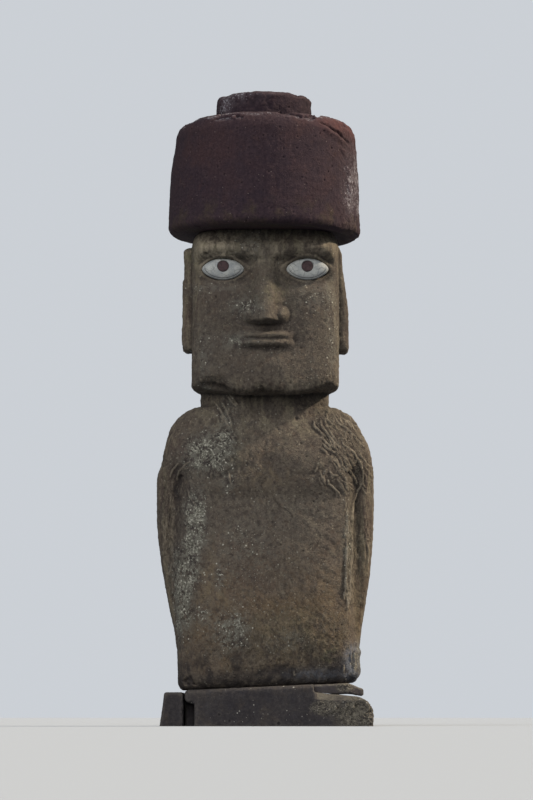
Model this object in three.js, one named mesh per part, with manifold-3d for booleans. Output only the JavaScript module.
// Standing stone ancestor figure with a red stone topknot, inlaid eyes and its plinth stones.
// Millimetres, +Z up, the face looks along -Y, origin on the ground under the middle of the figure.
import * as THREE from "three";
import { mergeVertices } from "three/addons/utils/BufferGeometryUtils.js";
import Module from "manifold-3d";

const wasm = await Module();
wasm.setup();

// ---------------------------------------------------------------- driving dimensions
const FOOT_Z = 430; // where the figure stands, at its middle
const FOOT_SLOPE = 0.043; // its underside and bed rise to the right
const CROWN_Z = 5450; // flat top of the head, where the topknot rests
const GAP = 0.4; // clearance between stones that rest on each other

// body
const FOOT_HALF_WIDTH = 995;
const BODY_HALF_WIDTH = 1203; // at the elbows
const HIP_Z = 850; // the sides are upright below this
const ELBOW_Z = 2456;
const SHOULDER_Z = 2700; // shoulders begin to round in
const SHOULDER_TOP_Z = 3510;
const SHOULDER_P = 2.0;
const SHOULDER_Q = 2.1;
const LEFT_LOSS = 30; // the left shoulder has lost this much above the elbow
const RIGHT_TOE = 32; // swelling at the foot's right corner
const FOOT_SHIFT = 38; // the foot stands a little to the right of the head
const TORSO_EDGE = 965; // half-width of the front plane between the arms
const ARM_SETBACK = 135;
const ARM_LOW_Z = 800;
const ARM_HIGH_Z = 2980;
// neck and head
const NECK_HALF_WIDTH = 712;
const NECK_TOP_Z = 3622;
const JAW_Z = 3662;
const HEAD_HALF_WIDTH = 812;
const CHIN_Z = 3640;
const HEAD_H = CROWN_Z - CHIN_Z;
const JAW_RISE = 72; // the jaw's corners sit this much above the chin
// face, in equal shares of the head's height and width
const BROW_AT = 0.87;
const EYE_AT = 0.757;
const NOSE_ROOT_AT = 0.82;
const NOSE_BASE_AT = 0.43;
const MOUTH_AT = 0.32;
const CHIN_AT = 0.12;
const EYE_X = (HEAD_HALF_WIDTH * 2 * 2) / 7; // face in seven parts: eye centres two parts out
const EYE_HALF_WIDTH = HEAD_HALF_WIDTH / 3.5;
const EYE_HALF_HEIGHT = EYE_HALF_WIDTH * 0.52;
const EYE_HALF_DEPTH = 66;
const EYE_Y = -492; // middle of the lens
const PUPIL_R = 60;
const PUPIL_DEEP = 46;
const PUPIL_UP = 28; // the gaze is raised
const PUPIL_TILT = 0.14;
const PUPIL_PROUD = 3;
// ears
const EAR_TOP_Z = 5290;
const EAR_LOW_Z = 4137;
const EAR_OUT = 924; // outer face of the lobe from the middle
const EAR_FRONT = -250;
const EAR_BACK = 150;
// topknot
const TOPKNOT_X = -12; // it stands a little left of the head's middle
const DRUM_LOW_R = 1078;
const DRUM_HIGH_R = 1024;
const DRUM_H = 1250;
const DRUM_ROUND_LOW = 95;
const DRUM_SAG = 36; // the rim hangs lower on the right
const DRUM_ROUND_HIGH = 190;
const KNOB_R = 529;
const KNOB_H = 300;
const KNOB_ROUND = 48;
// plinth
const SLAB_LEFT = -875;
const SLAB_RIGHT = 1170;
const SLAB_FRONT = -850;
const SLAB_BACK = 830;
const SLAB_STEP_X = 535; // right of this the slab's top is worn down
const SLAB_WORN_Z = 367; // there, falling gently to a rounded end
const SLAB_FALL = 0.1;
const SLAB_END_R = 190;
const SLAB_NICHE = [-768, -560, 285]; // a hollow in its left front corner: right side, back and roof
const BLOCK_LEFT = -1142;
const BLOCK_RIGHT = -880;
const BLOCK_H = 369;
const BLOCK_FRONT = -800;
const BLOCK_BACK = 420;
const WEDGE_LEFT = 500;
const WEDGE_RIGHT = 1070;
const WEDGE_THICK = 125;
const WEDGE_DEEP = 330;

// ---------------------------------------------------------------- helpers
const clamp = (x, a = 0, b = 1) => Math.min(b, Math.max(a, x));
const lerp = (a, b, t) => a + (b - a) * t;
const smooth = (a, b, x) => {
  const t = clamp((x - a) / (b - a));
  return t * t * (3 - 2 * t);
};
const hump = (x, centre, width, power = 2) =>
  Math.exp(-Math.pow(Math.abs((x - centre) / width), power));
const headLevel = (share) => CHIN_Z + HEAD_H * share;
const bedLevel = (x) => FOOT_Z + FOOT_SLOPE * x;

// a smooth monotone curve through a few [height, size] stations
function track(stations) {
  const n = stations.length;
  const h = [];
  const d = [];
  for (let i = 0; i < n - 1; i++) {
    h.push(stations[i + 1][0] - stations[i][0]);
    d.push((stations[i + 1][1] - stations[i][1]) / h[i]);
  }
  const m = [d[0]];
  for (let i = 1; i < n - 1; i++)
    m.push(
      d[i - 1] * d[i] <= 0
        ? 0
        : (3 * (h[i - 1] + h[i])) /
            ((2 * h[i] + h[i - 1]) / d[i - 1] + (h[i] + 2 * h[i - 1]) / d[i]),
    );
  m.push(d[n - 2]);
  return (z) => {
    if (z <= stations[0][0]) return stations[0][1];
    if (z >= stations[n - 1][0]) return stations[n - 1][1];
    let i = 0;
    while (z > stations[i + 1][0]) i++;
    const t = (z - stations[i][0]) / h[i];
    const t2 = t * t;
    const t3 = t2 * t;
    return (
      (2 * t3 - 3 * t2 + 1) * stations[i][1] +
      (t3 - 2 * t2 + t) * h[i] * m[i] +
      (-2 * t3 + 3 * t2) * stations[i + 1][1] +
      (t3 - t2) * h[i] * m[i + 1]
    );
  };
}

const toSolid = (geometry) => {
  const g = geometry.clone();
  g.deleteAttribute("normal");
  g.deleteAttribute("uv");
  const merged = mergeVertices(g, 1e-3);
  return new wasm.Manifold(
    new wasm.Mesh({
      numProp: 3,
      vertProperties: merged.attributes.position.array,
      triVerts: new Uint32Array(merged.index.array),
    }),
  );
};

const toGeometry = (solid) => {
  const m = solid.getMesh();
  const v = new Float32Array(m.numVert * 3);
  for (let i = 0; i < m.numVert; i++)
    v.set(m.vertProperties.subarray(i * m.numProp, i * m.numProp + 3), i * 3);
  const g = new THREE.BufferGeometry();
  g.setAttribute("position", new THREE.BufferAttribute(v, 3));
  g.setIndex(new THREE.BufferAttribute(new Uint32Array(m.triVerts), 1));
  g.computeVertexNormals();
  return g;
};

// moves every vertex of a geometry by a function of its place
function reshape(geometry, move) {
  const p = geometry.attributes.position;
  for (let i = 0; i < p.count; i++) {
    const [x, y, z] = move(p.getX(i), p.getY(i), p.getZ(i));
    p.setXYZ(i, x, y, z);
  }
  return geometry;
}

// a block with edges rounded to one radius; cuts are the faces across each side, 3 or more
function wornBlock(low, high, radius, cuts) {
  const mid = low.map((v, i) => (v + high[i]) / 2);
  const half = low.map((v, i) => (high[i] - v) / 2);
  return reshape(new THREE.BoxGeometry(2, 2, 2, ...cuts), (...unit) => {
    const inner = [];
    const off = unit.map((t, i) => {
      // the outermost row of faces takes just the rounding
      const last = 1 - 2 / cuts[i];
      const a = Math.abs(t);
      const flat = 1 - radius / half[i];
      const place =
        a > last
          ? lerp(flat, 1, (a - last) / (1 - last))
          : (flat * a) / Math.max(last, 1e-9);
      const q = Math.sign(t) * place * half[i];
      inner.push(clamp(q, radius - half[i], half[i] - radius));
      return q - inner[i];
    });
    const long = Math.hypot(...off) || 1;
    return off.map((d, i) => mid[i] + inner[i] + (d * radius) / long);
  });
}

// ---------------------------------------------------------------- figure
const frontAt = track([
  [FOOT_Z, -600],
  [560, -650],
  [1100, -700],
  [1700, -675],
  [2300, -625],
  [2800, -585],
  [3120, -515],
  [3330, -420],
  [3480, -350],
  [NECK_TOP_Z, -325],
  [JAW_Z, -640],
  [3760, -672],
  [4150, -640],
  [4600, -590],
  [5000, -560],
  [5300, -575],
  [CROWN_Z, -520],
]);
const backAt = track([
  [FOOT_Z, 520],
  [700, 560],
  [2000, 545],
  [2900, 520],
  [3300, 480],
  [3560, 425],
  [3900, 440],
  [4500, 478],
  [5100, 480],
  [5350, 455],
  [CROWN_Z, 400],
]);
const squarenessAt = track([
  [FOOT_Z, 4.6],
  [1000, 4.0],
  [2000, 3.5],
  [3000, 3.1],
  [3500, 2.7],
  [NECK_TOP_Z, 2.8],
  [JAW_Z, 4.2],
  [4300, 4.7],
  [5100, 4.6],
  [CROWN_Z, 3.8],
]);

function halfWidthAt(z) {
  if (z < SHOULDER_Z)
    return lerp(
      FOOT_HALF_WIDTH,
      BODY_HALF_WIDTH,
      Math.sin((Math.PI / 2) * clamp((z - HIP_Z) / (ELBOW_Z - HIP_Z))),
    );
  if (z < SHOULDER_TOP_Z) {
    const s = (z - SHOULDER_Z) / (SHOULDER_TOP_Z - SHOULDER_Z);
    return (
      NECK_HALF_WIDTH +
      (BODY_HALF_WIDTH - NECK_HALF_WIDTH) *
        Math.pow(1 - Math.pow(s, SHOULDER_P), 1 / SHOULDER_Q)
    );
  }
  if (z < JAW_Z)
    return lerp(NECK_HALF_WIDTH, HEAD_HALF_WIDTH, smooth(NECK_TOP_Z, JAW_Z, z));
  const t = clamp((z - 5270) / (CROWN_Z - 5270));
  return HEAD_HALF_WIDTH - 105 * (1 - Math.sqrt(1 - t * t));
}
// the foot's lower edge is worn round
const footWear = (z) => {
  const t = 1 - clamp((z - FOOT_Z) / 110);
  return 62 * (1 - Math.sqrt(1 - 0.92 * t * t));
};

// how far the face stands forward of the plane of the head
function faceRelief(x, z) {
  const ax = Math.abs(x);
  const inFace = 1 - smooth(700, HEAD_HALF_WIDTH, ax);
  const brow =
    92 * hump(z, headLevel(BROW_AT), 92, 2.6) * (1 - 0.28 * hump(x, 0, 130));
  const socket =
    -92 *
    hump(ax, EYE_X, EYE_HALF_WIDTH * 1.32, 4) *
    hump(z, headLevel(EYE_AT), EYE_HALF_HEIGHT * 1.5, 4);
  const t = clamp(
    (headLevel(NOSE_ROOT_AT) - z) /
      (headLevel(NOSE_ROOT_AT) - headLevel(NOSE_BASE_AT)),
  );
  const onNose =
    smooth(headLevel(NOSE_BASE_AT) - 42, headLevel(NOSE_BASE_AT) + 14, z) *
    (1 - smooth(headLevel(NOSE_ROOT_AT) - 60, headLevel(NOSE_ROOT_AT) + 80, z));
  const nose =
    onNose * lerp(62, 205, Math.pow(t, 1.25)) * hump(x, 0, lerp(105, 158, t), 3);
  const wings =
    onNose * 96 * hump(ax, 168, 72) * hump(z, headLevel(NOSE_BASE_AT) + 70, 84);
  const lips =
    62 * hump(z, headLevel(MOUTH_AT), 62, 2.6) * (1 - smooth(215, 335, ax));
  const chin = 40 * hump(z, headLevel(CHIN_AT), 190, 4) * hump(x, 0, 360, 4);
  return (
    (brow + socket) * inFace + Math.max(nose, wings) + lips + chin
  );
}

// how far the chest, belly and arms stand forward of the plane of the body
function bodyRelief(x, z) {
  const ax = Math.abs(x);
  const chest =
    30 * hump(ax, 430, 350, 4) * hump(z, 2820, 250, 4) -
    16 * hump(z, 2500, 90) * hump(x, 0, 800, 4);
  const belly = 26 * hump(x, 0, 620, 4) * hump(z, 1050, 420, 4);
  const edge = TORSO_EDGE + 14 * Math.sign(x);
  const armZone =
    smooth(ARM_LOW_Z - 220, ARM_LOW_Z + 260, z) *
    (1 - smooth(ARM_HIGH_Z - 320, ARM_HIGH_Z, z));
  const arm =
    -ARM_SETBACK * smooth(edge - 22, edge + 50, ax) +
    64 * hump(ax, 1112, 74);
  return chest + belly + arm * armZone;
}

// the arm's band along the side of the body
function armSide(y, z) {
  const zone =
    smooth(ARM_LOW_Z, ARM_LOW_Z + 500, z) *
    (1 - smooth(ARM_HIGH_Z - 250, ARM_HIGH_Z + 150, z));
  return zone * (-34 * hump(y, 330, 52) + 8 * hump(y, 0, 260, 4));
}

// one point of the figure's skin: turn is the way round from the front, z the height
function skin(turn, z) {
  const n = squarenessAt(z);
  const s = Math.sin(turn);
  const c = Math.cos(turn);
  const r = Math.pow(Math.abs(s) ** n + Math.abs(c) ** n, -1 / n);
  const wear = footWear(z);
  const front = frontAt(z) + wear;
  const back = backAt(z) - wear;
  let x = (halfWidthAt(z) - wear) * r * s;
  let y = (front + back) / 2 - ((back - front) / 2) * r * c;
  const forward = smooth(0.3, 0.75, r * c);
  const relief =
    z > NECK_TOP_Z
      ? faceRelief(x, z) * smooth(NECK_TOP_Z, JAW_Z + 30, z)
      : bodyRelief(x, z);
  y -= forward * relief;
  x += Math.sign(s) * smooth(0.6, 0.95, Math.abs(r * s)) * armSide(y, z);
  const jaw = hump(z, CHIN_Z + 20, 240, 4) * smooth(3500, NECK_TOP_Z, z);
  const lift = JAW_RISE * clamp(Math.abs(x) / HEAD_HALF_WIDTH) ** 2 * jaw;
  x += FOOT_SHIFT * (1 - smooth(FOOT_Z, 2400, z));
  x +=
    LEFT_LOSS * smooth(-900, -1100, x) * smooth(2740, 2860, z) * (1 - smooth(3080, 3330, z));
  x += RIGHT_TOE * smooth(900, 1000, x) * (1 - smooth(770, 850, z));
  const bed = FOOT_SLOPE * x * (1 - smooth(FOOT_Z, 1100, z));
  return [x, y, z + lift + bed];
}

// heights of the rings: close together where the carving is fine
function spread(from, to, count) {
  return Array.from({ length: count }, (_, i) => lerp(from, to, i / count));
}
const RINGS = [
  FOOT_Z,
  FOOT_Z + 24,
  490,
  560,
  770,
  ...spread(850, SHOULDER_Z, 7),
  ...spread(SHOULDER_Z, 3300, 5),
  ...spread(3300, SHOULDER_TOP_Z, 4),
  SHOULDER_TOP_Z,
  NECK_TOP_Z,
  ...spread(JAW_Z, headLevel(0.25), 4),
  ...spread(headLevel(0.25), headLevel(0.4), 5),
  ...spread(headLevel(0.4), headLevel(0.46), 3),
  ...spread(headLevel(0.46), headLevel(0.64), 3),
  ...spread(headLevel(0.64), 5290, 8),
  ...spread(5290, CROWN_Z, 3),
  CROWN_Z,
];
const ROUND = 52; // columns round the figure, closest together across the face

function figureShell() {
  const g = new THREE.CylinderGeometry(1, 1, 1, ROUND, RINGS.length - 1, false);
  return reshape(g, (x, y, z) => {
    // the cylinder's own axis is y: its height share picks the ring
    const ring = Math.round((y + 0.5) * (RINGS.length - 1));
    const level = RINGS[ring];
    if (Math.hypot(x, z) < 0.5) {
      const mid = ring ? 0 : FOOT_SHIFT;
      return [
        mid,
        (frontAt(level) + backAt(level)) / 2,
        level + (ring ? 0 : FOOT_SLOPE * mid),
      ];
    }
    // z towards the viewer on the cylinder is the front
    const turn = Math.atan2(x, z);
    const packed = turn - 0.3 * Math.sin(turn) - 0.07 * Math.sin(2 * turn);
    return skin(packed, level);
  });
}

function ear(side) {
  const lobe = wornBlock(
    [side > 0 ? 700 : -EAR_OUT, EAR_FRONT, EAR_LOW_Z],
    [side > 0 ? EAR_OUT : -700, EAR_BACK, EAR_TOP_Z],
    46,
    [3, 6, 12],
  );
  reshape(lobe, (x, y, z) => {
    const up = clamp((z - EAR_LOW_Z) / (EAR_TOP_Z - EAR_LOW_Z));
    const thin =
      side > 0 ? 78 * smooth(0.3, 1.0, up) : 22 * smooth(0.66, 0.7, up);
    const outer = smooth(780, 900, Math.abs(x));
    const slot = 34 * hump(y, (EAR_FRONT + EAR_BACK) / 2, 70) * hump(up, 0.45, 0.34, 4);
    return [
      x - side * outer * (thin + slot),
      y + lerp(-24, 40, up) - 20 * hump(up, 0.62, 0.2),
      z,
    ];
  });
  return toSolid(lobe);
}

// ---------------------------------------------------------------- eyes
// an almond lens; grow widens it all round
function lens(side, grow) {
  const g = new THREE.SphereGeometry(1, 20, 10);
  return reshape(g, (x, y, z) => {
    // the sphere's axis is y: lay it along the eye so its poles are the corners
    const along = y;
    const up = x;
    const out = z;
    const point = 1 - 0.22 * along * along;
    return [
      side * EYE_X + (EYE_HALF_WIDTH + grow) * along,
      EYE_Y + (EYE_HALF_DEPTH + grow) * out,
      headLevel(EYE_AT) + (EYE_HALF_HEIGHT + grow) * up * point,
    ];
  });
}
function lensSolid(side, grow) {
  const g = lens(side, grow);
  g.deleteAttribute("normal");
  g.deleteAttribute("uv");
  const merged = mergeVertices(g, 1e-3);
  const index = merged.index.array;
  const swapped = new Uint32Array(index.length);
  for (let i = 0; i < index.length; i += 3) {
    swapped[i] = index[i];
    swapped[i + 1] = index[i + 2];
    swapped[i + 2] = index[i + 1];
  }
  const make = (tri) =>
    new wasm.Manifold(
      new wasm.Mesh({
        numProp: 3,
        vertProperties: merged.attributes.position.array,
        triVerts: tri,
      }),
    );
  const made = make(new Uint32Array(index));
  return made.volume() > 0 ? made : make(swapped);
}

// a round disc let into the front of the eye, turned up with the eye's face
function pupil(side, grow) {
  const g = new THREE.CylinderGeometry(
    PUPIL_R + grow,
    PUPIL_R + grow,
    PUPIL_DEEP + 2 * grow,
    20,
    1,
  );
  g.rotateX(-PUPIL_TILT);
  g.translate(
    side * EYE_X,
    EYE_Y - EYE_HALF_DEPTH + PUPIL_DEEP / 2 - PUPIL_PROUD,
    headLevel(EYE_AT) + PUPIL_UP,
  );
  return toSolid(g);
}

// ---------------------------------------------------------------- topknot
function topknot() {
  const low = CROWN_Z + GAP;
  const high = low + DRUM_H;
  const top = high + KNOB_H;
  const p = [new THREE.Vector2(0, low), new THREE.Vector2(850, low)];
  const arc = (cx, cz, r, from, to, steps) => {
    for (let i = 0; i <= steps; i++) {
      const a = lerp(from, to, i / steps);
      p.push(new THREE.Vector2(cx + r * Math.cos(a), cz + r * Math.sin(a)));
    }
  };
  const q = Math.PI / 2;
  arc(DRUM_LOW_R - DRUM_ROUND_LOW, low + DRUM_ROUND_LOW, DRUM_ROUND_LOW, -q, 0, 3);
  p.push(new THREE.Vector2(lerp(DRUM_LOW_R, DRUM_HIGH_R, 0.5), low + DRUM_H / 2));
  arc(DRUM_HIGH_R - DRUM_ROUND_HIGH, high - DRUM_ROUND_HIGH, DRUM_ROUND_HIGH, 0, q, 4);
  p.push(new THREE.Vector2(KNOB_R, high - 6));
  arc(KNOB_R - KNOB_ROUND, top - KNOB_ROUND, KNOB_ROUND, 0.1, q, 2);
  p.push(new THREE.Vector2(0, top));
  const g = new THREE.LatheGeometry(p, 40);
  g.rotateX(q); // the lathe turns about y: stand it up
  reshape(g, (x, y, z) => {
    const turn = Math.atan2(y, x);
    const r = Math.hypot(x, y);
    const outer = smooth(KNOB_R + 40, DRUM_LOW_R, r);
    const wave = 1 - 0.006 * outer * (1 + Math.cos(4 * turn + 0.6));
    const rim = smooth(850, 983, r) * (1 - smooth(low + 100, low + 500, z));
    return [x * wave, y * wave, z - DRUM_SAG * rim * smooth(200, 900, x)];
  });
  const g2 = g.clone();
  let solid;
  g2.deleteAttribute("normal");
  g2.deleteAttribute("uv");
  const merged = mergeVertices(g2, 1e-2);
  const index = Array.from(merged.index.array);
  const tri = [];
  for (let i = 0; i < index.length; i += 3) {
    const [a, b, c] = index.slice(i, i + 3);
    if (a !== b && b !== c && a !== c) tri.push(a, b, c);
  }
  const make = (t) =>
    new wasm.Manifold(
      new wasm.Mesh({
        numProp: 3,
        vertProperties: merged.attributes.position.array,
        triVerts: new Uint32Array(t),
      }),
    );
  solid = make(tri);
  if (solid.volume() < 0) {
    const back = [];
    for (let i = 0; i < tri.length; i += 3) back.push(tri[i], tri[i + 2], tri[i + 1]);
    solid = make(back);
  }
  // a split in the drum's upper edge, running out from beside the knob
  const split = new THREE.SphereGeometry(1, 10, 6);
  reshape(split, (x, y, z) => [46 * x, 420 * y, 40 * z]);
  split.rotateZ(0.2);
  split.translate(590, -470, high + 8);
  return solid.subtract(toSolid(split)).translate(TOPKNOT_X, 0, 0);
}

// ---------------------------------------------------------------- plinth stones
function flatUnder(geometry, level) {
  return reshape(geometry, (x, y, z) => [x, y, z < level ? level : z]);
}
// the height of the slab's worn right end at a place along it
function wornTop(x) {
  const fall = SLAB_WORN_Z - SLAB_FALL * (x - SLAB_STEP_X);
  const past = clamp((x - SLAB_RIGHT + SLAB_END_R) / SLAB_END_R);
  return fall - SLAB_END_R * (1 - Math.sqrt(1 - past * past));
}
// a bar of one section, [across, up] points, running along x or y
function bar(points, along, from, to) {
  const shape = new THREE.Shape(points.map(([a, b]) => new THREE.Vector2(a, b)));
  const g = new THREE.ExtrudeGeometry(shape, {
    depth: to - from,
    bevelEnabled: false,
  });
  reshape(g, (a, b, c) => (along === "y" ? [a, to - c, b] : [from + c, a, b]));
  return toSolid(g);
}
function slab() {
  const g = wornBlock(
    [SLAB_LEFT, SLAB_FRONT, -80],
    [SLAB_RIGHT, SLAB_BACK, FOOT_Z],
    40,
    [7, 4, 4],
  );
  reshape(g, (x, y, z) => {
    const up = clamp(z / FOOT_Z);
    return [
      x,
      y + 40 * up * smooth(-500, SLAB_FRONT, y),
      z + up * (bedLevel(x) - FOOT_Z - GAP),
    ];
  });
  const over = [
    [SLAB_STEP_X - 12, 600],
    [SLAB_STEP_X, wornTop(SLAB_STEP_X)],
  ];
  for (let i = 0; i <= 10; i++) {
    const x =
      i === 0
        ? lerp(SLAB_STEP_X, SLAB_RIGHT - SLAB_END_R, 0.55)
        : SLAB_RIGHT -
          SLAB_END_R * (1 - Math.sin((Math.PI / 2) * ((i - 1) / 9)));
    over.push([x, wornTop(x)]);
  }
  over.push([SLAB_RIGHT + 60, wornTop(SLAB_RIGHT)], [SLAB_RIGHT + 60, 600]);
  // the worn end's front edge is sloped off as well
  const brink = [
    [SLAB_FRONT - 60, 190],
    [SLAB_FRONT + 116, 381],
    [SLAB_FRONT + 116, 640],
    [SLAB_FRONT - 60, 640],
  ];
  const [side, deep, roof] = SLAB_NICHE;
  const niche = [
    [SLAB_LEFT - 40, -20],
    [side + 8, -20],
    [side - 14, roof],
    [SLAB_LEFT - 40, roof + 22],
  ];
  return toSolid(flatUnder(g, 0))
    .subtract(bar(over, "y", SLAB_FRONT - 60, SLAB_BACK + 60))
    .subtract(bar(brink, "x", SLAB_STEP_X + 14, SLAB_RIGHT + 60))
    .subtract(bar(niche, "y", SLAB_FRONT - 60, deep));
}
function leftBlock() {
  const g = wornBlock(
    [BLOCK_LEFT, BLOCK_FRONT, -60],
    [BLOCK_RIGHT, BLOCK_BACK, BLOCK_H],
    30,
    [3, 4, 4],
  );
  reshape(g, (x, y, z) => [
    x + 46 * clamp(z / BLOCK_H) * smooth(BLOCK_RIGHT, BLOCK_LEFT, x),
    y,
    z,
  ]);
  return toSolid(flatUnder(g, 0));
}
function wedge() {
  const front = SLAB_FRONT + 130;
  const g = wornBlock(
    [WEDGE_LEFT, front, -WEDGE_THICK],
    [WEDGE_RIGHT, front + WEDGE_DEEP, 0],
    42,
    [7, 4, 3],
  );
  reshape(g, (x, y, z) => {
    const end = smooth(WEDGE_RIGHT - 190, WEDGE_RIGHT, x);
    const middle = (z + WEDGE_THICK / 2) / WEDGE_THICK;
    const narrow = 0.42 * end * (y - front - WEDGE_DEEP / 2);
    return [x, y - narrow, bedLevel(x) - GAP + z - end * (42 + 24 * middle)];
  });
  return toSolid(g);
}

// ---------------------------------------------------------------- assembly
const stone = {
  tuff: new THREE.MeshStandardMaterial({ color: 0x6b6052, roughness: 0.95, metalness: 0 }),
  scoria: new THREE.MeshStandardMaterial({ color: 0x4a3232, roughness: 0.97, metalness: 0 }),
  coral: new THREE.MeshStandardMaterial({ color: 0xc4c4bc, roughness: 0.8, metalness: 0 }),
  iris: new THREE.MeshStandardMaterial({ color: 0x4b3232, roughness: 0.8, metalness: 0 }),
  basalt: new THREE.MeshStandardMaterial({ color: 0x4c4644, roughness: 0.95, metalness: 0 }),
};
const part = new THREE.Group();
function put(name, solid, material) {
  const mesh = new THREE.Mesh(toGeometry(solid), material);
  mesh.name = name;
  part.add(mesh);
}

let figure = toSolid(figureShell()).add(ear(1)).add(ear(-1));
const slabSolid = slab();
// the wedge beds on the slab's worn end
const wedgeSolid = wedge().subtract(slabSolid.translate(0, 0, GAP));
for (const side of [-1, 1]) figure = figure.subtract(lensSolid(side, GAP));
put("figure", figure, stone.tuff);
for (const side of [-1, 1]) {
  const tag = side < 0 ? "left" : "right";
  put(
    "eye_white_" + tag,
    lensSolid(side, 0).subtract(pupil(side, GAP)),
    stone.coral,
  );
  put("eye_pupil_" + tag, pupil(side, 0), stone.iris);
}
put("topknot", topknot(), stone.scoria);
put("plinth_slab", slabSolid, stone.basalt);
put("plinth_block", leftBlock(), stone.basalt);
put("wedge_stone", wedgeSolid, stone.basalt);

export default part;
